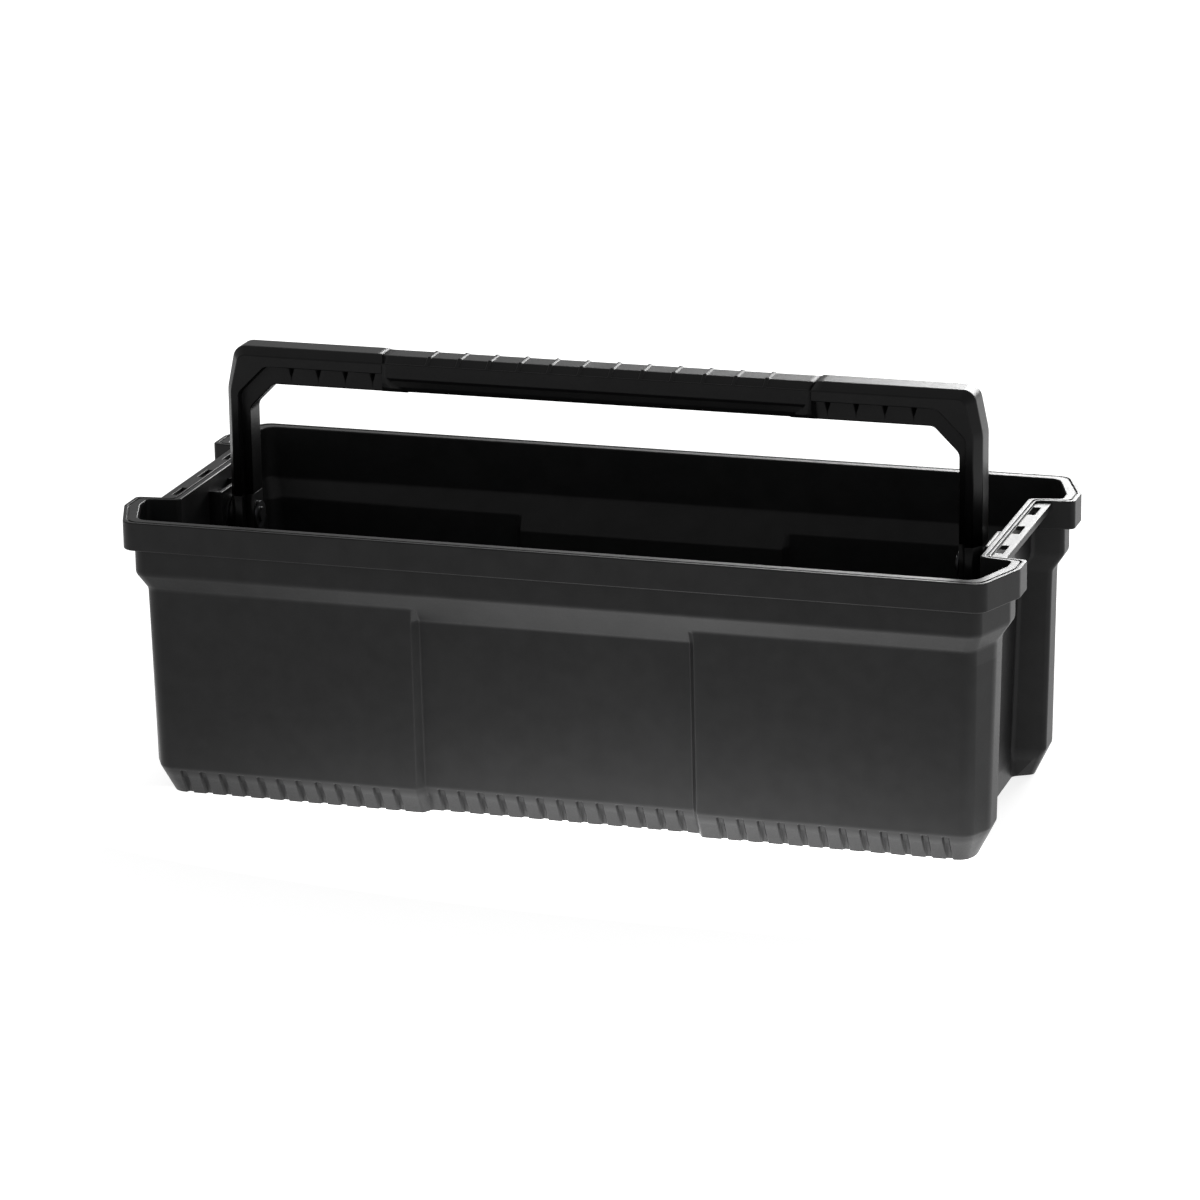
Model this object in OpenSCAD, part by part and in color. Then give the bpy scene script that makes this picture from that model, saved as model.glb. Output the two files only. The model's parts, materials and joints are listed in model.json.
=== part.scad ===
// Open tool caddy: a one-piece moulded tray, and a carrying handle that stands over it
// and folds down inside it, to either side, on two pins in the end walls.
// X runs along the tray, Y across it, Z up. The origin is under the middle of the tray.

/* [Tray] */
// Length over the rim
rim_l = 602; // [500:1:730]
// Width over the rim
rim_w = 262; // [254:1:320]
// Height of the tray, to the top of the rim
tray_h = 193; // [165:1:235]
// Thickness of the moulded walls
wall = 2.5; // [2:0.1:3]
// Height of the skirt that hangs round the rim
skirt_h = 19; // [12:1:24]
// How far the skirt stands out from the wall behind it
skirt_out = 7; // [6:0.5:9]
// Height of the plain band under the skirt
neck_h = 18; // [12:1:22]
// How far the wall leans in from the top to the foot of its panels
draft = 4; // [2:0.5:6]

/* [Panels] */
// How far the side panels sit inside the neck
side_in = 8; // [5:0.5:10]
// Height of the slope above a side panel
side_drop = 12; // [8:0.5:14]
// How far the middle panel sits inside the neck
mid_in = 15; // [11:0.5:16]
// Height of the slope above the middle panel
mid_drop = 21.5; // [16:0.5:24]
// Length of the middle panel
mid_l = 190; // [150:1:230]
// Length of the chamfered step at each end of the middle panel
step_l = 4; // [2:0.5:8]

/* [Foot] */
// Height of the chamfer round the foot
foot_h = 20.5; // [14:0.5:26]
// How far the long sides lean in down the foot chamfer
foot_in = 12.5; // [8:0.5:14]
// How far the ends lean in down the foot chamfer
foot_end_in = 9; // [6:0.5:12]
// Spacing of the grooves in the foot chamfer
groove_pitch = 13.5; // [10:0.5:18]
// Width of a foot groove
groove_w = 4; // [3:0.25:5]
// Depth of a foot groove
groove_d = 1.2; // [0.8:0.1:1.5]
// Distance from the tray's middle to the first groove of an outer panel
side_groove_x = 110; // [104:1:125]

/* [Corners] */
// Length of the corner chamfer along the tray
corner_x = 15; // [14:1:18]
// Length of the corner chamfer across the tray
corner_y = 40; // [38:1:46]
// Rounding where the corner chamfer meets the sides
corner_r = 12; // [6:1:14]

/* [Ends] */
// How far the end wall sits in from the end of the rim
recess_d = 28.5; // [24:0.5:34]
// Width of the end recess at its mouth
recess_w = 139; // [120:1:150]
// How much narrower the recess is at the end wall
recess_taper = 6; // [0:1:10]
// Width of the ledge that stands out from the end wall
ledge_w = 13.5; // [11:0.5:16]
// Thickness of the ledge
ledge_t = 3; // [2.5:0.25:4]
// Depth of the lip along the ledge's outer edge
lip_h = 6; // [4:0.5:10]
// Length of a window in the ledge, across the tray
window_l = 18; // [12:1:24]
// Width of a window
window_w = 5.6; // [4.6:0.2:6]
// Distance from the windows to the inside of the lip
window_edge = 1.9; // [1.5:0.1:2.5]
// Spacing of the windows
window_pitch = 46; // [34:1:48]

/* [Handle] */
// Height of the top of the handle above the floor of the tray's foot
handle_h = 284.3; // [270:0.5:292]
// Depth of the pivot below the rim
pivot_drop = 27; // [25.5:0.5:30]
// Width of the handle, across the tray
handle_w = 32; // [28:1:34]
// Height of the bar
bar_h = 25.3; // [22:0.1:28]
// Thickness of a leg
leg_t = 15.5; // [13:0.5:17]
// Width of the flat strip along the handle's outside
strip_w = 17; // [12:1:20]
// Depth of the bevels beside that strip
bevel = 4.8; // [3:0.1:6]
// Size of the chamfer in the inner corners
inner_chamfer = 17; // [10:1:22]
// How far the leg leans in at its top
lean_in = 6; // [3:0.5:8]
// Height of that lean
lean_h = 20; // [14:1:24]
// Rounding of the outer corners
outer_r = 9; // [5:1:12]
// Width of the flange left beside the pockets
flange = 5.2; // [4:0.1:7]
// Thickness of the web between the pockets
web = 18; // [12:1:20]
// Spacing of the ribs in the bar's pockets
rib_pitch = 19; // [15:1:24]

/* [Grip] */
// Length of the soft grip
grip_l = 302; // [260:1:330]
// Thickness of the soft grip
grip_t = 2.6; // [2:0.1:3.2]
// Spacing of the ribs across the top of the grip
cell_pitch = 20.9; // [16:0.1:25]
// Width of a grip rib
cell_rib = 2; // [1.5:0.1:3]
// Depth of the cells between the ribs
cell_d = 1.2; // [0.8:0.1:1.6]

/* [Pivots] */
// Width of the boss on the end wall
boss_w = 37; // [33:1:40]
// How far the boss stands in from the end wall
boss_t = 9; // [6:0.5:10]
// Radius of the pivot pin
pin_r = 5; // [4:0.25:6]
// Radius of the pin's head
head_r = 9; // [7.5:0.5:11]
// Thickness of the pin's head
head_t = 3; // [2:0.25:4]
// Radius of the washer and of the hub on the leg
washer_r = 12; // [10:0.5:14]
// Thickness of the washer
washer_t = 1.5; // [1:0.1:2]
// Radius of the retaining ring
ring_r = 9; // [8:0.5:10]
// Thickness of the retaining ring
ring_t = 1.2; // [0.8:0.1:1.6]

/* [Hidden] */
$fn = 48;

arc_n = 3; // segments in each rounded corner of the tray's outline
eps = 0.01;
fit = 0.05; // radial clearance of the pin in the tray, and of the washer on the pin
run = 0.08; // radial clearance of the leg on the pin
gap = 0.5; // side clearance between the moving handle and its neighbours
groove_in = 2.6; // distance of the rim's groove from its outer edge
rim_groove_w = 1.2;
rim_groove_d = 1.2;
mid_grooves = 13; // grooves in the foot of the middle panel
side_grooves = 12; // grooves in the foot of an outer panel
windows = 3;
ribs = 4; // ribs in each pocket of the bar
rib_t = 2.4;
cells = 13;
end_slant = 5; // how much shorter the grip is at its sides than along its top

black = [0.055, 0.055, 0.058];
soft_black = [0.035, 0.035, 0.037];
steel = [0.62, 0.63, 0.65];

rim_a = rim_l / 2;
rim_b = rim_w / 2;
neck_z = tray_h - skirt_h - neck_h;
side_z = neck_z - side_drop;
mid_z = neck_z - mid_drop;
panel_h = side_z - foot_h;
mid_draft = draft * (side_z - mid_z) / panel_h; // the side panels' lean at the middle panel's top
end_x = rim_a - recess_d; // outer face of the end wall, at the neck
boss_x = end_x - wall - boss_t; // inner face of the boss
pivot_z = tray_h - pivot_drop;
boss_top = pivot_z + boss_w / 2;
hub_x = boss_x - washer_t - gap; // outer face of the hub on the leg
hub_t = 1.5;
leg_x = hub_x - hub_t; // outer face of the leg
leg_in = leg_x - leg_t;
bar_z = handle_h - bar_h;
foot_z = pivot_z - handle_w / 2; // lowest point of the handle
ring_x = leg_in - gap; // outer face of the retaining ring
pin_end = ring_x - ring_t - 1.6;
ring_groove_r = pin_r - 0.8;
half_w = handle_w / 2;

function unit(v) = v / norm(v);

// points of the corner at p, between its neighbours a and b, rounded to radius r
function corner(a, p, b, r) = let(
        u = unit(a - p), v = unit(b - p), half = acos(u * v) / 2,
        centre = p + unit(u + v) * r / sin(half),
        s = p + u * r / tan(half) - centre, e = p + v * r / tan(half) - centre,
        turn = (cross(s, e) > 0 ? 1 : -1) * (180 - 2 * half))
    [for (i = [0:arc_n]) centre + r * [
        cos(atan2(s.y, s.x) + turn * i / arc_n), sin(atan2(s.y, s.x) + turn * i / arc_n)]];

// closed outline through points [x, y, r], each rounded to its own r, or left sharp where r is 0
function rounded(p) = let(n = len(p)) [for (i = [0:n - 1]) let(
        a = p[(i + n - 1) % n], b = p[(i + 1) % n], q = [p[i].x, p[i].y])
    each p[i].z == 0 ? [q] : corner([a.x, a.y], q, [b.x, b.y], p[i].z)];

function reversed(v) = [for (i = [len(v) - 1:-1:0]) v[i]];

// a quarter of an outline, repeated in all four quarters
function four_times(q) = concat(
    q, [for (p = reversed(q)) [-p.x, p.y, p.z]],
    [for (p = q) [-p.x, -p.y, p.z]], [for (p = reversed(q)) [p.x, -p.y, p.z]]);

// outline of the tray inside the rim by ins at the ends, side on the outer panels and mid on the
// middle one; e is the end wall's place, w widens the recess, and t is a further inset all round
function outline(ins, side, mid, e, w = 0, t = 0) = let(
        a = rim_a - ins - t, b = rim_b - side - t, m = rim_b - mid - t,
        w0 = recess_w / 2 + w + t, w1 = (recess_w - recess_taper) / 2 + t + w / 2, s = mid_l / 2 + t,
        cut = side / 3, cut_y = min(side * side / 16, 20), lobe = w0 + corner_r * 0.75)
    rounded(four_times([
        [e - t, w1, 3], [a, w0, 3],
        [a, max(b - corner_y + cut_y, lobe), corner_r / 2], [a - corner_x + cut, b, corner_r],
        [s, b, 0], [s - step_l, m, 0]]));

// the tray's outline at each height, with t taken off all round and the lowest ring at z0
function tray_rings(z0, z1, t) = let(
        n = skirt_out, s = n + side_in, m = n + mid_in, e = end_x - side_in, f = z0 / foot_h)
    [
        [z0, outline(s + draft + foot_end_in * (1 - f), s + draft + foot_in * (1 - f),
            m + draft + foot_in * (1 - f), e - draft, foot_end_in * (1 - f), t)],
        [foot_h, outline(s + draft, s + draft, m + draft, e - draft, 0, t)],
        [mid_z, outline(s + mid_draft, s + mid_draft, m, e - mid_draft, 0, t)],
        [side_z, outline(s, s, s + eps, e, 0, t)],
        [neck_z, outline(n, n, n + eps, end_x, 0, t)],
        [z1, outline(n, n, n + eps, end_x, 0, t)]
    ];

// triangles that fill the tray's outline: a fan in each quarter, and the convex middle
function tray_cap(n) = let(k = n / 4) concat(
    [for (q = [0, 2]) for (i = [0:k - 3]) [q * k + k - 1, q * k + i, q * k + i + 1]],
    [for (q = [1, 3]) for (i = [1:k - 2]) [q * k, q * k + i, q * k + i + 1]],
    let(m = [for (q = [0:3]) each [q * k, q * k + k - 1]])
    [for (i = [1:6]) [m[0], m[i], m[i + 1]]]);

// triangles that fill a bent strip, whose outline runs out along one edge and back along the other
function strip_cap(n) = [for (i = [0:n / 2 - 2]) each
    [[i, i + 1, n - 1 - i], [i + 1, n - 2 - i, n - 1 - i]]];

// a closed solid through rings [z, outline], all with the same number of points, capped by cap
module skin(rings, cap) {
    n = len(rings[0][1]);
    last = (len(rings) - 1) * n;
    polyhedron(
        points = [for (r = rings) for (p = r[1]) [p.x, p.y, r[0]]],
        faces = concat(
            cap,
            [for (t = cap) [last + t[2], last + t[1], last + t[0]]],
            [for (k = [0:n:last - n]) for (i = [0:n - 1]) [k + i, k + i + n, k + (i + 1) % n]],
            [for (k = [0:n:last - n]) for (i = [0:n - 1])
                [k + (i + 1) % n, k + i + n, k + (i + 1) % n + n]]));
}

module tray_form(z0, z1, t) {
    rings = tray_rings(z0, z1, t);
    skin(rings, tray_cap(len(rings[0][1])));
}

// a round bar along X from x0 to x1, on the pivot's axis
module on_pivot(x0, x1, r) {
    translate([min(x0, x1), 0, pivot_z]) rotate([0, 90, 0]) cylinder(r = r, h = abs(x1 - x0));
}

module both_ends() {
    children();
    mirror([1, 0, 0]) children();
}

module four_corners() {
    both_ends() {
        children();
        mirror([0, 1, 0]) children();
    }
}

module rim_plate(inset, z0, z1) {
    translate([0, 0, z0]) linear_extrude(z1 - z0) polygon(outline(0, 0, 0, rim_a - recess_d, 0, inset));
}

// one groove down the foot chamfer of a panel whose face stands at y at the chamfer's top
module foot_groove(x, y) {
    translate([x - groove_w / 2, -y, foot_h]) rotate([atan2(foot_in, foot_h), 0, 0])
        translate([0, -5, -foot_h * 1.4]) cube([groove_w, 5 + groove_d, foot_h * 1.4 - 1.5]);
}

module foot_grooves() {
    mid_y = rim_b - skirt_out - mid_in - draft;
    side_y = rim_b - skirt_out - side_in - draft;
    for (i = [0:mid_grooves - 1]) foot_groove((i - (mid_grooves - 1) / 2) * groove_pitch, mid_y);
    for (i = [0:side_grooves - 1]) both_ends() foot_groove(side_groove_x + i * groove_pitch, side_y);
}

// the ledge outside an end wall, with its lip
module ledge() {
    translate([end_x - eps, -recess_w / 2, tray_h - ledge_t]) cube([ledge_w, recess_w, ledge_t]);
    translate([end_x + ledge_w - wall, -recess_w / 2, tray_h - lip_h]) cube([wall, recess_w, lip_h]);
}

module ledge_windows() {
    for (i = [0:windows - 1])
        translate([end_x + ledge_w - wall - window_edge - window_w, (i - (windows - 1) / 2) * window_pitch - window_l / 2,
            tray_h - 2 * ledge_t])
            cube([window_w, window_l, 3 * ledge_t]);
}

// the pad inside an end wall that carries a pin, stopped short of the wall's outer face
module boss() {
    x = end_x - eps;
    intersection() {
        union() {
            on_pivot(boss_x, x, boss_w / 2);
            translate([boss_x, -boss_w / 2, pivot_z]) cube([x - boss_x, boss_w, boss_w / 2]);
        }
        along_y(-boss_w, boss_w) polygon([
            [boss_x, boss_top], [boss_x, foot_h], [x - side_in - draft, foot_h],
            [x - side_in, side_z], [x, neck_z], [x, boss_top]]);
    }
}

module tray_body() {
    color(black) difference() {
        union() {
            difference() {
                union() {
                    tray_form(0, tray_h, 0);
                    rim_plate(0, tray_h - skirt_h, tray_h);
                }
                tray_form(wall, tray_h + 1, wall);
                difference() {
                    rim_plate(wall, tray_h - skirt_h - 1, tray_h - wall);
                    translate([0, 0, tray_h - skirt_h - 2]) linear_extrude(skirt_h + 4)
                        polygon(outline(skirt_out, skirt_out, skirt_out, end_x, 0, -eps));
                }
                difference() {
                    rim_plate(groove_in, tray_h - rim_groove_d, tray_h + 1);
                    rim_plate(groove_in + rim_groove_w, tray_h - 2 * rim_groove_d, tray_h + 2);
                }
                foot_grooves();
                mirror([0, 1, 0]) foot_grooves();
            }
            both_ends() {
                ledge();
                boss();
            }
        }
        both_ends() {
            on_pivot(boss_x - 1, end_x + 1, pin_r + fit);
            ledge_windows();
        }
    }
}

// the handle's outline in X and Z, with its outer edge brought in by c
function handle_outline(c) = let(
        x = leg_x - c, top = handle_h - c,
        outer = [[x, foot_z, 0], [x, handle_h - outer_r - lean_h, 2], [x - lean_in, top, outer_r]],
        inner = [[leg_in, foot_z, 0], [leg_in, bar_z - inner_chamfer, 2], [leg_in - inner_chamfer, bar_z, 2]])
    rounded(concat(outer, [for (p = reversed(outer)) [-p.x, p.y, p.z]],
        [for (p = inner) [-p.x, p.y, p.z]], reversed(inner)));

// the handle with both its outer edges bevelled, before anything is cut from it
module handle_form() {
    whole = handle_outline(0);
    slim = handle_outline(bevel);
    rotate([90, 0, 0]) skin([
        [-half_w, slim], [-strip_w / 2, whole], [strip_w / 2, whole], [half_w, slim]],
        strip_cap(len(whole)));
}

// the front pocket's outline: from the flange to the inner edge, and along the bar to the grip
function pocket() = let(
        x = leg_x - bevel - flange, z = handle_h - bevel - flange - 2, c = inner_chamfer + 2)
    [
        [x, foot_z - 1], [x, z - c], [x - c, z], [grip_l / 2 - end_slant, z],
        [grip_l / 2 - end_slant, bar_z - 1], [leg_in - inner_chamfer, bar_z - 1],
        [leg_in - 1, bar_z - inner_chamfer], [leg_in - 1, foot_z - 1]];

module along_y(y0, y1) {
    translate([0, y1, 0]) rotate([90, 0, 0]) linear_extrude(y1 - y0) children();
}

module pockets() {
    four_corners() difference() {
        along_y(web / 2, half_w + 1) polygon(pocket());
        for (i = [0:ribs - 1])
            translate([grip_l / 2 + 4 + i * rib_pitch, 0, bar_z - 2]) cube([rib_t, half_w - 1.5, bar_h]);
    }
}

// section of the bar in Y and Z, with t taken off all round
module bar_section(t) {
    s = strip_w / 2;
    z0 = bar_z + t;
    z1 = handle_h - t;
    shoulder = bar_z + bar_h * 0.42;
    k = t * 0.45;
    polygon([
        [s - k, z1], [half_w - t, z1 - bevel + k], [half_w - t, shoulder + k], [half_w - 2.5 - t, shoulder - 2],
        [half_w - 4 - t, z0 + 4 - k], [half_w - 8 - k, z0],
        [8 + k - half_w, z0], [4 + t - half_w, z0 + 4 - k],
        [2.5 + t - half_w, shoulder - 2], [t - half_w, shoulder + k], [t - half_w, z1 - bevel + k], [k - s, z1]]);
}

module along_x(x0, x1) {
    translate([x0, 0, 0]) rotate([90, 0, 90]) linear_extrude(x1 - x0) children();
}

// the length of bar that the grip takes up, a little shorter at the sides than along the top
module grip_space(clear) {
    translate([0, 0, handle_h - 40]) linear_extrude(60) polygon([
        [grip_l / 2 + clear, 0], [grip_l / 2 + clear - end_slant, half_w + 1],
        [clear * -1 - grip_l / 2 + end_slant, half_w + 1], [clear * -1 - grip_l / 2, 0],
        [clear * -1 - grip_l / 2 + end_slant, -half_w - 1], [grip_l / 2 + clear - end_slant, -half_w - 1]]);
}

module handle_frame() {
    color(black) difference() {
        union() {
            intersection() {
                handle_form();
                union() {
                    translate([-rim_a, -rim_b, pivot_z]) cube([rim_l, rim_w, handle_h]);
                    on_pivot(-rim_a, rim_a, half_w);
                }
            }
            both_ends() on_pivot(leg_x - eps, hub_x, washer_r);
        }
        pockets();
        difference() {
            grip_space(0);
            along_x(-grip_l, grip_l) bar_section(grip_t);
        }
        both_ends() on_pivot(leg_in - 1, hub_x + 1, pin_r + run);
    }
}

module grip_cells() {
    shallow = cell_pitch - cell_rib;
    for (i = [0:cells - 1]) {
        x = (i - (cells - 1) / 2) * cell_pitch;
        grow = i == 0 || i == cells - 1 ? 10 : 0;
        translate([i == 0 ? -grow : 0, 0, 0]) along_x(x - shallow / 2, x + shallow / 2 + grow)
            difference() {
                translate([-half_w + 1, handle_h - bevel]) square([handle_w - 2, bevel + 1]);
                bar_section(cell_d);
            }
    }
}

module grip_sleeve() {
    color(soft_black) difference() {
        intersection() {
            grip_space(0);
            along_x(-grip_l, grip_l) difference() {
                bar_section(0);
                bar_section(grip_t);
            }
        }
        grip_cells();
    }
}

module pivot_pin() {
    color(steel) union() {
        on_pivot(end_x, end_x + head_t, head_r);
        on_pivot(ring_x, end_x + eps, pin_r);
        on_pivot(ring_x - ring_t - eps, ring_x + eps, ring_groove_r);
        on_pivot(pin_end, ring_x - ring_t, pin_r);
    }
}

module pivot_washer() {
    color(soft_black) difference() {
        on_pivot(boss_x - washer_t, boss_x, washer_r);
        on_pivot(boss_x - washer_t - 1, boss_x + 1, pin_r + fit);
    }
}

module retaining_ring() {
    color(steel) difference() {
        on_pivot(ring_x - ring_t, ring_x, ring_r);
        on_pivot(ring_x - ring_t - 1, ring_x + 1, ring_groove_r);
    }
}

tray_body();
handle_frame();
grip_sleeve();
mirror([1, 0, 0]) pivot_pin();  // pivot_pin_left
pivot_pin();  // pivot_pin_right
mirror([1, 0, 0]) pivot_washer();  // pivot_washer_left
pivot_washer();  // pivot_washer_right
mirror([1, 0, 0]) retaining_ring();  // retaining_ring_left
retaining_ring();  // retaining_ring_right
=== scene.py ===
import json
import math

import bpy
import numpy as np
from mathutils import Matrix, Vector


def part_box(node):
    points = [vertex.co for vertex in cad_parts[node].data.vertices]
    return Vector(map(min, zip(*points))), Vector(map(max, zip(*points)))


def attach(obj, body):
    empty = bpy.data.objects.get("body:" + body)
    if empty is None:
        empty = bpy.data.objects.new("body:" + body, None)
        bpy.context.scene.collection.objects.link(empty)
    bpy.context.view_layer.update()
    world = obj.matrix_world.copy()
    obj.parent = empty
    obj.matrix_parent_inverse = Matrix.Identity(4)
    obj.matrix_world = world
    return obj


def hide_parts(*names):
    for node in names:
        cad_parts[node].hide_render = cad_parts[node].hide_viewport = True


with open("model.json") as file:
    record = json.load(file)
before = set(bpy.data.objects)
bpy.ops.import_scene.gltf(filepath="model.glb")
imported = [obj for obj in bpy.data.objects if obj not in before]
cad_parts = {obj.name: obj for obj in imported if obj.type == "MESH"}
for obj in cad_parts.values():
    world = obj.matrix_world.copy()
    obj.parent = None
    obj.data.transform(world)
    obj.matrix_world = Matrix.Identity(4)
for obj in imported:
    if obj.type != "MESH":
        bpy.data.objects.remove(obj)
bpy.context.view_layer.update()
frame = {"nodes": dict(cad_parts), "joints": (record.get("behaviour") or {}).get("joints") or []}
mm = 0.001
nodes = frame["nodes"]
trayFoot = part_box("tray_body")[0].z
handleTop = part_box("handle_frame")[1].z
pivotZ = frame["joints"][0]["pos_m"][2] * 1000
print("frame loaded")


# Each corner of a chain of points turns into an arc that starts and ends at its reach from the
# corner: a rational quadratic whose middle weight is the sine of half the corner's angle.
def softened(net, reaches, count=4, closed=False):
    parts = []
    last = len(net) - 1
    for i, here in enumerate(net):
        if np.all(np.asarray(reaches[i]) == 0) or (not closed and i in (0, last)):
            parts.append(here[None])
            continue
        back = net[i - 1] - here
        onward = net[(i + 1) % len(net)] - here
        backLong = np.linalg.norm(back, axis=-1, keepdims=True) + 1e-6
        onwardLong = np.linalg.norm(onward, axis=-1, keepdims=True) + 1e-6
        start = here + back * np.minimum(reaches[i] / backLong, 0.46)
        end = here + onward * np.minimum(reaches[i] / onwardLong, 0.46)
        cosine = (back * onward).sum(-1, keepdims=True) / (backLong * onwardLong)
        weight = np.sqrt(np.clip((1 - cosine) / 2, 0.02, 1))
        n = count[i] if hasattr(count, "__len__") else count
        t = np.linspace(0, 1, n).reshape((-1,) + (1,) * here.ndim)
        over = (1 - t) ** 2 * start + 2 * t * (1 - t) * weight * here + t ** 2 * end
        parts.append(over / ((1 - t) ** 2 + 2 * t * (1 - t) * weight + t ** 2))
    return np.concatenate(parts)


# A closed mesh through rows of points: each row is a ring, and the rows either close on themselves
# or end in a flat face. The faces are turned outwards by the sign of the volume they enclose.
def surfaceFrom(name, net, closedRows=False):
    rows, around = net.shape[:2]
    points = net.reshape(-1, 3) * mm
    i, j = np.meshgrid(np.arange(rows if closedRows else rows - 1), np.arange(around), indexing="ij")
    nextRow = (i + 1) % rows
    nextAround = (j + 1) % around
    quads = np.stack([i * around + j, i * around + nextAround, nextRow * around + nextAround,
                      nextRow * around + j], -1).reshape(-1, 4)
    p = points[quads]
    volume = (p[:, 0] * (np.cross(p[:, 1], p[:, 2]) + np.cross(p[:, 2], p[:, 3]))).sum()
    faces = quads.tolist()
    if not closedRows:
        for ring in (np.arange(around)[::-1], np.arange(around) + (rows - 1) * around):
            q = points[ring]
            volume += (q[0] * np.cross(q[1:-1], q[2:])).sum()
            faces.append(ring.tolist())
    if volume < 0:
        faces = [f[::-1] for f in faces]
    return meshFrom(name, points.tolist(), faces)


# A smooth-shaded piece from its points in metres and its faces
def meshFrom(name, points, faces):
    mesh = bpy.data.meshes.new(name)
    mesh.from_pydata(points, [], faces)
    mesh.polygons.foreach_set("use_smooth", [True] * len(faces))
    mesh.update()
    piece = bpy.data.objects.new(name, mesh)
    bpy.context.scene.collection.objects.link(piece)
    return piece


# The skin of a set of filled cells in a grid of boxes
def blocks(name, xs, ys, zs, solid, bevel):
    corners = np.stack(np.meshgrid(xs, ys, zs, indexing="ij"), -1)
    index = np.arange(corners[..., 0].size).reshape(corners.shape[:3])
    full = np.pad(solid, 1)
    quads = []
    for axis in range(3):
        across = np.diff(full.astype(int), axis=axis)
        keep = [slice(1, -1)] * 3
        keep[axis] = slice(None)
        across = across[tuple(keep)]
        one, two = [k for k in range(3) if k != axis]
        where = np.argwhere(across != 0)
        sign = across[tuple(where.T)]
        ring = []
        for u, v in ((0, 0), (1, 0), (1, 1), (0, 1)):
            at = where.copy()
            at[:, one] += u
            at[:, two] += v
            ring.append(index[tuple(at.T)])
        ring = np.stack(ring, -1)
        flip = (sign > 0) if axis != 1 else (sign < 0)
        ring[flip] = ring[flip][:, ::-1]
        quads.append(ring)
    quads = np.concatenate(quads)
    used, renamed = np.unique(quads, return_inverse=True)
    piece = meshFrom(name, (corners.reshape(-1, 3)[used] * mm).tolist(), renamed.reshape(-1, 4).tolist())
    edge = piece.modifiers.new("edges", "BEVEL")
    edge.width = bevel * mm
    edge.segments = 2
    edge.limit_method = "ANGLE"
    edge.angle_limit = math.radians(40)
    edge.use_clamp_overlap = True
    return piece


# Flat faces keep their shading flat, and the small rounds between them take up the turn
def evenShading(piece):
    even = piece.modifiers.new("shading", "WEIGHTED_NORMAL")
    even.mode = "FACE_AREA"
    even.weight = 60
    even.keep_sharp = False


# Moulded plastic: fine grain in the surface, with slow changes of colour and roughness
def plastic(name, tint, rough, grain, specular=0.3, grainSize=0.0011, metal=0.0, spread=0.2):
    material = bpy.data.materials.new(name)
    material.use_nodes = True
    tree = material.node_tree
    shader = tree.nodes["Principled BSDF"]
    shader.inputs["Metallic"].default_value = metal
    shader.inputs["Specular IOR Level"].default_value = specular
    place = tree.nodes.new("ShaderNodeTexCoord")

    def noise(scale, detail):
        made = tree.nodes.new("ShaderNodeTexNoise")
        made.inputs["Scale"].default_value = scale
        made.inputs["Detail"].default_value = detail
        tree.links.new(place.outputs["Object"], made.inputs["Vector"])
        return made.outputs["Fac"]

    def ranged(source, low, high):
        made = tree.nodes.new("ShaderNodeMapRange")
        made.inputs["From Min"].default_value = 0.3
        made.inputs["From Max"].default_value = 0.7
        made.inputs["To Min"].default_value = low
        made.inputs["To Max"].default_value = high
        tree.links.new(source, made.inputs["Value"])
        return made.outputs["Result"]

    broad = noise(9.0, 2.0)
    cloudy = noise(70.0, 4.0)
    fine = noise(1 / grainSize, 3.0)
    mix = tree.nodes.new("ShaderNodeMix")
    mix.data_type = "RGBA"
    mix.inputs["A"].default_value = (*[c * (1 - spread) for c in tint], 1)
    mix.inputs["B"].default_value = (*[c * (1 + spread) for c in tint], 1)
    tree.links.new(ranged(cloudy, 0, 1), mix.inputs["Factor"])
    tree.links.new(mix.outputs["Result"], shader.inputs["Base Color"])
    both = tree.nodes.new("ShaderNodeMath")
    both.operation = "ADD"
    tree.links.new(ranged(broad, rough - 0.03, rough + 0.02), both.inputs[0])
    tree.links.new(ranged(fine, -0.03, 0.04), both.inputs[1])
    tree.links.new(both.outputs[0], shader.inputs["Roughness"])
    bump = tree.nodes.new("ShaderNodeBump")
    bump.inputs["Strength"].default_value = grain
    bump.inputs["Distance"].default_value = 0.0002
    tree.links.new(fine, bump.inputs["Height"])
    tree.links.new(bump.outputs["Normal"], shader.inputs["Normal"])
    return material


looks = {
    "tray_plastic": plastic("trayBlack", (0.0080, 0.0080, 0.0082), 0.42, 0.16, specular=0.18),
    "handle_plastic": plastic("handleBlack", (0.0042, 0.0042, 0.0044), 0.38, 0.12, specular=0.16),
    "grip_rubber": plastic("gripBlack", (0.0040, 0.0040, 0.0042), 0.46, 0.2, specular=0.17),
    "pin_plastic": plastic("pinBlack", (0.006, 0.006, 0.0063), 0.36, 0.08, specular=0.2),
    "washer_plastic": plastic("washerDark", (0.012, 0.012, 0.0125), 0.42, 0.1, specular=0.2),
    "ring_steel": plastic("ringSteel", (0.035, 0.035, 0.038), 0.4, 0.12, metal=0.8, grainSize=0.0006),
}
print("finishes made")


# A piece gets its finish, the body it moves with and the CAD nodes it stands for
def dress(piece, body, slotName, *replaced):
    piece.data.materials.append(looks[slotName])
    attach(piece, body)
    if replaced:
        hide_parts(*replaced)
    return piece


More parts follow.
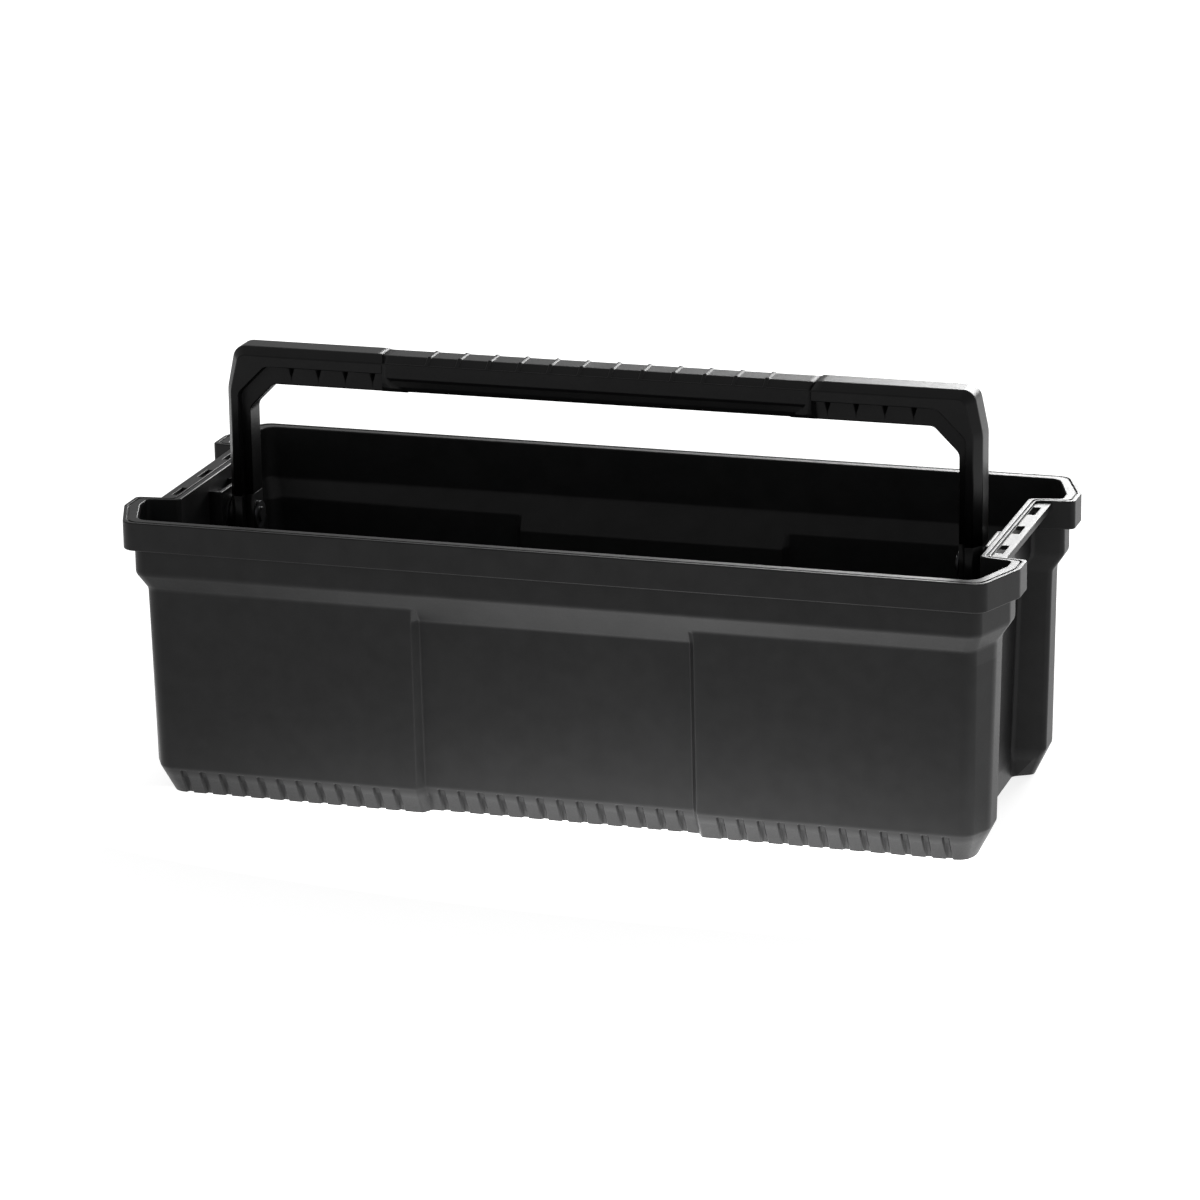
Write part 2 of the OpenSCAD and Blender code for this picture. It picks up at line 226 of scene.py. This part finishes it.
# The tray is one net of outlines, in mm, that goes up the outside, over the rim and down to the
# floor. "wall", "inner" and "mouth" give the recess in the end, "end" and "cornerY" with "cornerX"
# and "side" give the corner chamfer, and "step" is where the panel falls back to "middle".
tray = {
    "columns": ("z", "end", "side", "middle", "wall", "mouth", "inner", "cornerY", "cornerX", "step",
                "groove", "wallZ", "soft", "points"),
    "foot": (0, 273.4, 99.5, 92.5, 260.5, 78.5, 71, 88.5, 268.5, 95, 2.2, 0, 1.2, 4),
    "chamferTop": (20.5, 283.2, 112, 105, 260.5, 70.5, 66.8, 93, 273.3, 95, 0, 20.5, 1.1, 4),
    "middleTop": (134.5, 285.7, 115.7, 109, 264.2, 70.5, 67, 90, 275.9, 95, 0, 134.5, 1.6, 4),
    "panelTop": (144, 286, 116, 115.6, 264.5, 70.5, 67, 90, 276, 95, 0, 144, 1.8, 4),
    "neckFoot": (156, 294, 124, 124, 272.5, 70.5, 67, 87, 281.3, 95, 0, 156, 2, 4),
    "neckTop": (190.5, 294, 124, 124, 272.5, 70.5, 67, 87, 281.3, 95, 0, 190.5, 0.4, 2),
    "skirtInTop": (190.5, 298.5, 128.5, 128.5, 274.3, 70.0, 66.9, 90.5, 284.3, 95, 0, 190.5, 0.4, 2),
    "skirtInFoot": (174, 298.5, 128.5, 128.5, 274.3, 70.0, 66.9, 90.5, 284.3, 95, 0, 187, 0.5, 3),
    "skirtFoot": (174, 301, 131, 131, 276, 69.5, 66.5, 91, 286, 95, 0, 187, 0.9, 4),
    "rimOuter": (193, 301, 131, 131, 276, 69.5, 66.5, 91, 286, 95, 0, 193, 0.7, 4),
    "grooveOuter": (193, 298.4, 128.4, 128.4, 274.7, 72.1, 67.9, 90.5, 284.2, 95, 0, 193, 0.3, 3),
    "grooveOuterLow": (191.8, 298.4, 128.4, 128.4, 274.7, 72.1, 67.9, 90.5, 284.2, 95, 0, 191.8, 0.2, 2),
    "grooveInnerLow": (191.8, 297.2, 127.2, 127.2, 273.5, 73.1, 69.1, 90.3, 283.4, 95, 0, 191.8, 0.2, 2),
    "grooveInner": (193, 297.2, 127.2, 127.2, 273.5, 73.1, 69.1, 90.3, 283.4, 95, 0, 193, 0.3, 3),
    "rimInner": (193, 291.5, 121.5, 121.5, 270, 74.4, 70.3, 86.5, 279.6, 96.5, 0, 193, 0.8, 4),
    "neckInFoot": (156.8, 291.5, 121.5, 121.5, 270, 74.4, 70.3, 86.5, 279.6, 96.5, 0, 156.8, 1.6, 3),
    "panelInTop": (144.8, 283.5, 113.5, 113.1, 262, 73, 69.5, 89.3, 274.3, 96.5, 0, 144.8, 1.2, 3),
    "middleInTop": (135.3, 283.2, 113.2, 106.5, 261.7, 73, 69.5, 89.0, 274.2, 96.5, 0, 135.3, 1.2, 3),
    "chamferInTop": (21.2, 279.5, 109.5, 102.5, 258, 73, 69.3, 91.6, 271.6, 96.5, 0, 21.2, 1.6, 3),
    "floor": (2.5, 271.4, 98.1, 91.1, 258, 80, 73.5, 87.0, 267.2, 96.5, 0, 2.5, 1.5, 3),
}
rowNames = [name for name in tray if name != "columns"]
rows = {name: dict(zip(tray["columns"], tray[name])) for name in rowNames}


# A row at height z on the straight line from one row to another
def between(low, high, z, groove):
    share = (z - low["z"]) / (high["z"] - low["z"])
    made = {key: low[key] * (1 - share) + high[key] * share for key in low}
    made.update({"groove": groove, "wallZ": z, "soft": 0.25, "points": 2})
    return made


# the slots along the foot stop a little below the top of the chamfer
grooves = {"pitch": 13.5, "first": 110, "outer": 12, "middle": 6, "deep": 2.2, "top": 18.0, "end": 19.0,
           "offsets": np.array([2.7, 2.4, 1.65, 1.3, -1.3, -1.65, -2.4, -2.7]),
           "depths": np.array([0, 0.12, 0.88, 1, 1, 0.88, 0.12, 0])}
keys = [rows["foot"], between(rows["foot"], rows["chamferTop"], grooves["top"], grooves["deep"]),
        between(rows["foot"], rows["chamferTop"], grooves["end"], 0.0)]
keys += [rows[name] for name in rowNames[1:]]
outerX = grooves["first"] + grooves["pitch"] * np.arange(grooves["outer"])[::-1]
middleX = grooves["pitch"] * np.arange(1, grooves["middle"] + 1)[::-1]


# How far each corner of the outline is rounded, and with how many points. On the floor row the
# corner's rounding ends 0.8 mm past the first slot, so that row runs back over itself there.
turns = {"recess": 3.0, "mouth": 3.0, "end": 4.0, "rimEnd": 1.6, "rimFrom": 290, "corner": 6.8,
         "step": 1.0, "stepRun": 4, "points": (1, 6, 6, 5, 10, 3, 3, 1)}


# A quarter of one outline: a rounded chain from the middle of the end wall to the corner and along
# the side, with the slots let in. Its height moves from wallZ at the end wall to z at the recess's
# inner corner, in equal shares.
def quarter(row):
    endTurn = turns["rimEnd"] if row["end"] > turns["rimFrom"] else turns["end"]
    reach = [0, turns["recess"], turns["mouth"], endTurn, turns["corner"], turns["step"], turns["step"], 0]
    pts = np.array([[row["wall"], 0], [row["wall"], row["inner"]], [row["end"], row["mouth"]],
                    [row["end"], row["cornerY"]], [row["cornerX"], row["side"]],
                    [row["step"], row["side"]], [row["step"] - turns["stepRun"], row["middle"]],
                    [0, row["middle"]]], float)
    count = turns["points"]
    line = softened(pts, reach, count)
    ends = np.cumsum(count)
    share = np.ones(len(line))
    share[:1] = 0
    share[1:ends[1]] = np.linspace(0, 1, count[1])
    x1 = (outerX[:, None] + grooves["offsets"]).ravel()
    x2 = np.concatenate([(middleX[:, None] + grooves["offsets"]).ravel(), grooves["offsets"][:4]])
    d1 = np.tile(grooves["depths"], grooves["outer"])
    d2 = np.concatenate([np.tile(grooves["depths"], grooves["middle"]), grooves["depths"][:4]])
    outerLine = np.stack([x1, row["side"] - d1 * row["groove"]], -1)
    middleLine = np.stack([x2, row["middle"] - d2 * row["groove"]], -1)
    line[-1, 1] -= row["groove"]
    line = np.concatenate([line[:ends[4]], outerLine, line[ends[4]:ends[6]], middleLine, line[-1:]])
    share = np.concatenate([share[:ends[4]], np.ones(len(line) - ends[4])])
    z = row["wallZ"] + (row["z"] - row["wallZ"]) * share
    return np.concatenate([line, z[:, None]], -1)


# The whole outline: the quarter, then its mirror images across X and Y in turn
def fourTimes(q):
    return np.concatenate([q, q[-2::-1] * [-1, 1, 1], q[1:] * [-1, -1, 1], q[-2:0:-1] * [1, -1, 1]])


net = np.stack([fourTimes(quarter(row)) for row in keys])
net = softened(net, [row["soft"] for row in keys], [row["points"] for row in keys])
trayShell = surfaceFrom("trayShell", net)
evenShading(trayShell)
dress(trayShell, "tray", "tray_plastic", "tray_body")
print("tray shell", len(trayShell.data.polygons))

# the slotted ledge outside each end wall
ledge = {"from": 275.8, "slotFrom": 276.4, "slotTo": 281.6, "lipFrom": 283.4, "to": 286.0,
         "half": 68.4, "slots": (-46, 0, 46), "slotHalf": 9, "foot": 187.0, "under": 188.6, "top": 191.6}
ledgeX = np.array([ledge["from"], ledge["slotFrom"], ledge["slotTo"], ledge["lipFrom"], ledge["to"]])
slotY = np.array([c + s * ledge["slotHalf"] for c in ledge["slots"] for s in (-1, 1)], float)
ledgeY = np.concatenate([[-ledge["half"]], slotY, [ledge["half"]]])
ledgeZ = np.array([ledge["foot"], ledge["under"], ledge["top"]])
filled = np.ones((4, 7, 2), bool)
filled[:3, :, 0] = False
filled[1, 1::2, 1] = False

# the pad on each end wall that carries a pin: round below, square above, with a sunk top
boss = {"half": 18.5, "top": 184.5, "face": 261.0, "lip": 2.6, "sunk": 180.6,
        "hole": 5.06, "into": 271.4, "wallX": 272.5, "slopeTop": 156, "slopeHigh": 12, "slopeRun": 8,
        "behind": 1.1}


# The pad's outline at x: a half circle round the pivot, two sides and a notched top. No point goes
# deeper than a little behind the end wall's inner face, which slopes below the shoulder.
def bossRing(x, sunk):
    angle = np.radians(np.linspace(-180, 0, 33))
    low = np.stack([boss["half"] * np.cos(angle), pivotZ + boss["half"] * np.sin(angle)], -1)
    edge = boss["half"] - boss["lip"]
    high = np.array([[boss["half"], boss["top"]], [edge, boss["top"]], [edge, sunk], [-edge, sunk],
                     [-edge, boss["top"]], [-boss["half"], boss["top"]]])
    ring = np.concatenate([low, high])
    ring = softened(ring, [0] * 33 + [0.7, 0.5, 0.5, 0.5, 0.5, 0.7], 3, closed=True)
    below = np.clip(boss["slopeTop"] - ring[:, 1], 0, boss["slopeHigh"])
    wall = boss["wallX"] - below * boss["slopeRun"] / boss["slopeHigh"] - boss["behind"]
    return np.concatenate([np.minimum(x, wall)[:, None], ring], -1)


# A circle round the pivot at x, with each point at the angle of the ring's own point
def circleLike(like, x, radius):
    angle = np.arctan2(like[:, 2] - pivotZ, like[:, 1])
    return np.stack([np.full(len(like), x), radius * np.cos(angle), pivotZ + radius * np.sin(angle)], -1)


almostTop = boss["top"] - 0.05
bossRows = [bossRing(boss["face"], almostTop), bossRing(boss["face"] + boss["lip"], almostTop),
            bossRing(boss["face"] + boss["lip"] + 0.3, boss["sunk"]), bossRing(boss["into"], boss["sunk"])]
front = circleLike(bossRows[0], boss["face"], boss["hole"])
back = circleLike(bossRows[3], bossRows[3][:, 0], boss["hole"])
bossNet = np.stack([front] + bossRows + [back])
bossNet = softened(bossNet, [0.4, 0.6, 0.5, 0.3, 0, 0], [3, 3, 3, 2, 1, 1], closed=True)
for side, name in ((-1, "Left"), (1, "Right")):
    plate = blocks("endLedge" + name, side * ledgeX[::side], ledgeY, ledgeZ, filled[::side], 0.35)
    evenShading(plate)
    dress(plate, "tray", "tray_plastic")
    pad = surfaceFrom("pivotBoss" + name, bossNet * [side, 1, 1], closedRows=True)
    evenShading(pad)
    dress(pad, "tray", "tray_plastic")
print("ledges and bosses made")

# Half of a handle section has five corners: the strip's edge, the bevel's foot, the flange's edge,
# the top of the web and its foot, with one more on the web where the notches end. It is carried up
# one leg, round the corner and along the bar, and the other half of the handle mirrors it.
handle = {"strip": 8.5, "half": 16.0, "web": 9.0, "top": 284.3, "bevel": 4.8, "flangeZ": 272.3,
          "notchZ": 265.0, "under": 259.0, "footTop": 182.0, "legX": (257.5, 252.7, 247.5, 244.7, 242),
          "elbow": ((257.5, 255.3), (252.7, 254.8), (247.5, 253.3), (244.6, 247.4), (242, 242)),
          "corner": ((251.5, 284.3), (246.7, 279.5), (228.5, 272.3), (226.6, 265), (225, 259)),
          "outerTurn": 7.3, "bevelTurn": 4.5, "innerTurn": 2.5, "elbowTurn": 3.0,
          "notches": (212, 193, 174, 155), "notchWide": 2.7, "notchFoot": 2.3, "notchLean": 2.0,
          "notchWeb": 2.5, "gripEnd": 151.0, "gripSlant": 5.0, "coreX": 145.8,
          "core": ((7.3, 281.6), (13.3, 278.0), (13.3, 271.2), (8.6, 270.4), (8.4, 265.0), (6.0, 261.7))}


# The section's corners: the widths are fixed, and each corner's x and z are given
def section(outer, bevel, flange, notch, inner):
    y = [handle["strip"], handle["half"], handle["half"], handle["web"], handle["web"], handle["web"]]
    xz = [outer, bevel, flange, flange, notch, inner]
    return np.array([[p[0], w, p[1]] for p, w in zip(xz, y)], float)


# An upright section of the bar at x, whose web may lean, or go in as far as a notch does
def barSection(x, webX=None, notchX=None, webY=None):
    s = section((x, handle["top"]), (x, handle["top"] - handle["bevel"]), (x, handle["flangeZ"]),
                (x, handle["notchZ"]), (x, handle["under"]))
    if webX is not None:
        s[3, 0] = webX
        s[4:, 0] = notchX
    if webY is not None:
        s[3, 1] = webY
        s[4, 1] = handle["web"] - 0.1
    return s


stations = [section(*[(x, handle["footTop"]) for x in handle["legX"]]),
            section(*handle["elbow"]), section(*handle["corner"])]
cornerTurns = np.array([[handle["outerTurn"]], [handle["bevelTurn"]]] + [[handle["innerTurn"]]] * 4)
reaches = [0, handle["elbowTurn"], cornerTurns]
for c in handle["notches"]:
    for sign, offset, webY in ((1, "notchWide", None), (1, "notchFoot", handle["notchWeb"]),
                               (-1, "notchFoot", handle["notchWeb"]), (-1, "notchWide", None)):
        x = c + sign * handle[offset]
        stations.append(barSection(x, x, c + sign * (handle[offset] - handle["notchLean"]), webY))
        reaches.append(0)
ending = barSection(handle["gripEnd"])
ending[:, 0] -= handle["gripSlant"] * ending[:, 1] / handle["half"] + 0.3
ending[3:, 0] = handle["coreX"]
core = ending + [-0.4, 0, 0]
core[:, 1:] = handle["core"]
stations += [ending, core]
reaches += [0, 0]
half = softened(np.stack(stations), reaches, 7)
half = np.concatenate([half, half[::-1] * [-1, 1, 1]])
ringFirst = np.concatenate([half, half[:, ::-1] * [1, -1, 1]], 1).transpose(1, 0, 2)
edges = [1.0, 0.9, 0.7, 0.9, 0, 0.9]
around = softened(ringFirst, edges + edges[::-1], 4, closed=True)
bar = surfaceFrom("handleBar", around.transpose(1, 0, 2))
evenShading(bar)
dress(bar, "handle", "handle_plastic", "handle_frame")

# the foot of each leg, with its bore and hub
foot = {"half": 16.0, "top": 182.0, "inner": 242.0, "flange": 247.5, "bevelFrom": 252.7, "outer": 257.5,
        "strip": 8.5, "web": 9, "join": 0.5, "hole": 5.14, "hub": 12.0, "hubFrom": 255.0, "hubOut": 259.0}


# The foot's outline at x: a half circle round the pivot and two sides, cut off at a width
def footRing(x, widest):
    angle = np.radians(np.linspace(-180, 0, 41))
    low = np.stack([foot["half"] * np.cos(angle), pivotZ + foot["half"] * np.sin(angle)], -1)
    ring = np.concatenate([low, [[foot["half"], foot["top"]], [-foot["half"], foot["top"]]]])
    ring[:, 0] = np.clip(ring[:, 0], -widest, widest)
    return np.concatenate([np.full((len(ring), 1), x), ring], -1)


footRows = [footRing(foot["flange"], foot["half"]), footRing(foot["bevelFrom"], foot["half"]),
            footRing(foot["outer"], foot["strip"])]
footNet = np.stack([circleLike(footRows[0], foot["flange"], foot["hole"])] + footRows
                   + [circleLike(footRows[0], foot["outer"], foot["hole"])])
footNet = softened(footNet, [0, 0.8, 0.8, 0.8, 0], [1, 3, 3, 3, 1], closed=True)
webEnd = foot["flange"] + foot["join"]
webRows = [footRing(foot["inner"], foot["web"]), footRing(webEnd, foot["web"])]
webNet = np.stack([circleLike(webRows[0], foot["inner"], foot["hole"])] + webRows
                  + [circleLike(webRows[0], webEnd, foot["hole"])])
webNet = softened(webNet, [0.4, 0.8, 0, 0], [3, 3, 1, 1], closed=True)
turn = np.radians(np.arange(0, 360, 6))
hubCorners = ((foot["hubFrom"], foot["hole"]), (foot["hubFrom"], foot["hub"]),
              (foot["hubOut"], foot["hub"]), (foot["hubOut"], foot["hole"]))
hubNet = np.stack([np.stack([np.full(len(turn), x), r * np.cos(turn), pivotZ + r * np.sin(turn)], -1)
                   for x, r in hubCorners])
hubNet = softened(hubNet, [0, 0, 0.5, 0.4], [1, 1, 3, 3], closed=True)
for side, name in ((-1, "Left"), (1, "Right")):
    for label, made in (("legFoot", footNet), ("legWeb", webNet), ("legHub", hubNet)):
        piece = surfaceFrom(label + name, made * [side, 1, 1], closedRows=True)
        evenShading(piece)
        dress(piece, "handle", "handle_plastic")
print("handle made", len(bar.data.polygons))

# the soft grip: shallow cells along the top and its bevels, a finger surface let in underneath
grip = {"end": 151.0, "slant": 5.0, "half": 16, "pitch": 20.9, "ribs": 12, "ribHalf": 1.0, "ribFoot": 1.5,
        "fingerEnd": 142.0, "fingerLow": 131.0, "fingerSlope": 1.1, "fingerRun": 0.6,
        "plain": [[8.5, 284.3], [15.0, 280.14], [15.45, 279.85], [16, 279.5]],
        "cell": [[8.2, 283.5], [14.55, 279.45], [15.3, 279.7], [16, 279.5]],
        "flush": [[16, 269.8], [15.7, 266.5], [14.6, 262.4], [9.5, 259.0]],
        "finger": [[16, 269.8], [13.4, 267.8], [12.0, 263.0], [8.0, 259.0]]}


# Half a section of the grip at x, from the middle of its top to the middle of its underside
def gripSection(x, top, under):
    yz = np.array(grip[top] + grip[under], float)
    return np.concatenate([np.broadcast_to(np.asarray(x, float), (8,))[:, None], yz], -1)


widths = np.array([p[0] for p in grip["cell"] + grip["flush"]])
endX = grip["end"] - grip["slant"] * widths / grip["half"]
lowZ = np.array([p[1] for p in grip["cell"] + grip["finger"]])
lowEnd = grip["fingerLow"] + grip["fingerSlope"] * (lowZ - 260)
fingerX = np.where(lowZ > 269, grip["fingerEnd"], lowEnd)
gripStations = [gripSection(endX, "cell", "flush"),
                gripSection(fingerX + grip["fingerRun"], "cell", "flush"),
                gripSection(fingerX, "cell", "finger")]
for k in range(grip["ribs"] // 2)[::-1]:
    c = grip["pitch"] * (k + 0.5)
    for offset, top in ((grip["ribFoot"], "cell"), (grip["ribHalf"], "plain"),
                        (-grip["ribHalf"], "plain"), (-grip["ribFoot"], "cell")):
        gripStations.append(gripSection(c + offset, top, "finger"))
gripHalf = softened(np.stack(gripStations), [0, 0, 0] + [0.3] * (len(gripStations) - 3), 3)
gripHalf = np.concatenate([gripHalf, gripHalf[::-1] * [-1, 1, 1]])
gripRing = np.concatenate([gripHalf, gripHalf[:, ::-1] * [1, -1, 1]], 1).transpose(1, 0, 2)
soft = [0.8, 0.25, 0.2, 0.5, 0.6, 0.5, 1.2, 1.6]
gripNet = softened(gripRing, soft + soft[::-1], 4, closed=True).transpose(1, 0, 2)
sleeve = surfaceFrom("gripSleeve", gripNet)
evenShading(sleeve)
dress(sleeve, "handle", "grip_rubber", "grip_sleeve")
print("grip made", len(sleeve.data.polygons))

for kind, slotName in (("pivot_pin", "pin_plastic"), ("pivot_washer", "washer_plastic"),
                       ("retaining_ring", "ring_steel")):
    for end in ("left", "right"):
        node = nodes[kind + "_" + end]
        node.data.materials.clear()
        node.data.materials.append(looks[slotName])
print("pins, washers and rings dressed")

# the studio: a pale floor that also glows, most strongly round the caddy, and white air around it
studio = {"air": 0.5, "floorHalf": 9, "floorDrop": 0.0004, "floorTint": 0.5, "floorRough": 0.9,
          "floorGloss": 0.1, "glowScale": (2.2, 9, 1), "glowShift": (-0.22, 1.35, 0),
          "glowFar": 0.78, "glowNear": 4.8}
scene = bpy.context.scene
scene.view_settings.view_transform = "Standard"
world = bpy.data.worlds.new("studio")
scene.world = world
world.use_nodes = True
world.node_tree.nodes["Background"].inputs["Color"].default_value = (1, 1, 1, 1)
world.node_tree.nodes["Background"].inputs["Strength"].default_value = studio["air"]

floorCorners = [[x * studio["floorHalf"], y * studio["floorHalf"], -studio["floorDrop"]]
                for x, y in ((-1, -1), (1, -1), (1, 1), (-1, 1))]
floor = meshFrom("floor", floorCorners, [[0, 1, 2, 3]])
pale = bpy.data.materials.new("paleFloor")
pale.use_nodes = True
tree = pale.node_tree
paleShader = tree.nodes["Principled BSDF"]
paleShader.inputs["Base Color"].default_value = (studio["floorTint"],) * 3 + (1,)
paleShader.inputs["Roughness"].default_value = studio["floorRough"]
paleShader.inputs["Specular IOR Level"].default_value = studio["floorGloss"]
paleShader.inputs["Emission Color"].default_value = (1, 1, 1, 1)
glowPlace = tree.nodes.new("ShaderNodeTexCoord")
glowScale = tree.nodes.new("ShaderNodeVectorMath")
glowScale.operation = "MULTIPLY_ADD"
glowScale.inputs[1].default_value = studio["glowScale"]
glowScale.inputs[2].default_value = studio["glowShift"]
glow = tree.nodes.new("ShaderNodeTexGradient")
glow.gradient_type = "SPHERICAL"
glowRange = tree.nodes.new("ShaderNodeMapRange")
glowRange.inputs["To Min"].default_value = studio["glowFar"]
glowRange.inputs["To Max"].default_value = studio["glowNear"]
tree.links.new(glowPlace.outputs["Object"], glowScale.inputs[0])
tree.links.new(glowScale.outputs["Vector"], glow.inputs["Vector"])
tree.links.new(glow.outputs["Fac"], glowRange.inputs["Value"])
tree.links.new(glowRange.outputs["Result"], paleShader.inputs["Emission Strength"])
floor.data.materials.append(pale)

target = Vector((0, 0, (trayFoot + handleTop) / 2))


# A rectangular lamp at a place, turned to the middle of the caddy
def softbox(name, place, wide, high, power):
    lamp = bpy.data.lights.new(name, "AREA")
    lamp.shape = "RECTANGLE"
    lamp.size = wide
    lamp.size_y = high
    lamp.energy = power
    held = bpy.data.objects.new(name, lamp)
    scene.collection.objects.link(held)
    held.location = place
    held.rotation_euler = (target - held.location).to_track_quat("-Z", "Y").to_euler()


softbox("backLight", Vector((0.5, 3.6, 1.35)), 2.4, 1.2, 175)
softbox("rightLight", Vector((3.2, -1.2, 0.9)), 1.4, 1.4, 5)

# the camera in mm and degrees turned to radians: its direction, roll, offsets and distance
view = {"az": math.radians(17.43838), "el": math.radians(16.74995), "roll": math.radians(-0.85977),
        "right": 4.41397, "up": -118.46313, "far": 3467.20268, "lens": 155.88}
backward = Vector((math.sin(view["az"]) * math.cos(view["el"]),
                   -math.cos(view["az"]) * math.cos(view["el"]), math.sin(view["el"])))
rightward = Vector((math.cos(view["az"]), math.sin(view["az"]), 0))
upward = backward.cross(rightward)
axisX = rightward * math.cos(view["roll"]) + upward * math.sin(view["roll"])
axisY = upward * math.cos(view["roll"]) - rightward * math.sin(view["roll"])
centre = (-view["right"] * axisX - view["up"] * axisY + view["far"] * backward) * mm
camera = bpy.data.objects.new("camera", bpy.data.cameras.new("camera"))
scene.collection.objects.link(camera)
camera.data.sensor_width = 36
camera.data.lens = view["lens"]
camera.data.clip_end = 60
camera.matrix_world = Matrix.Translation(centre) @ Matrix((axisX, axisY, backward)).transposed().to_4x4()
scene.camera = camera
print("stage set")
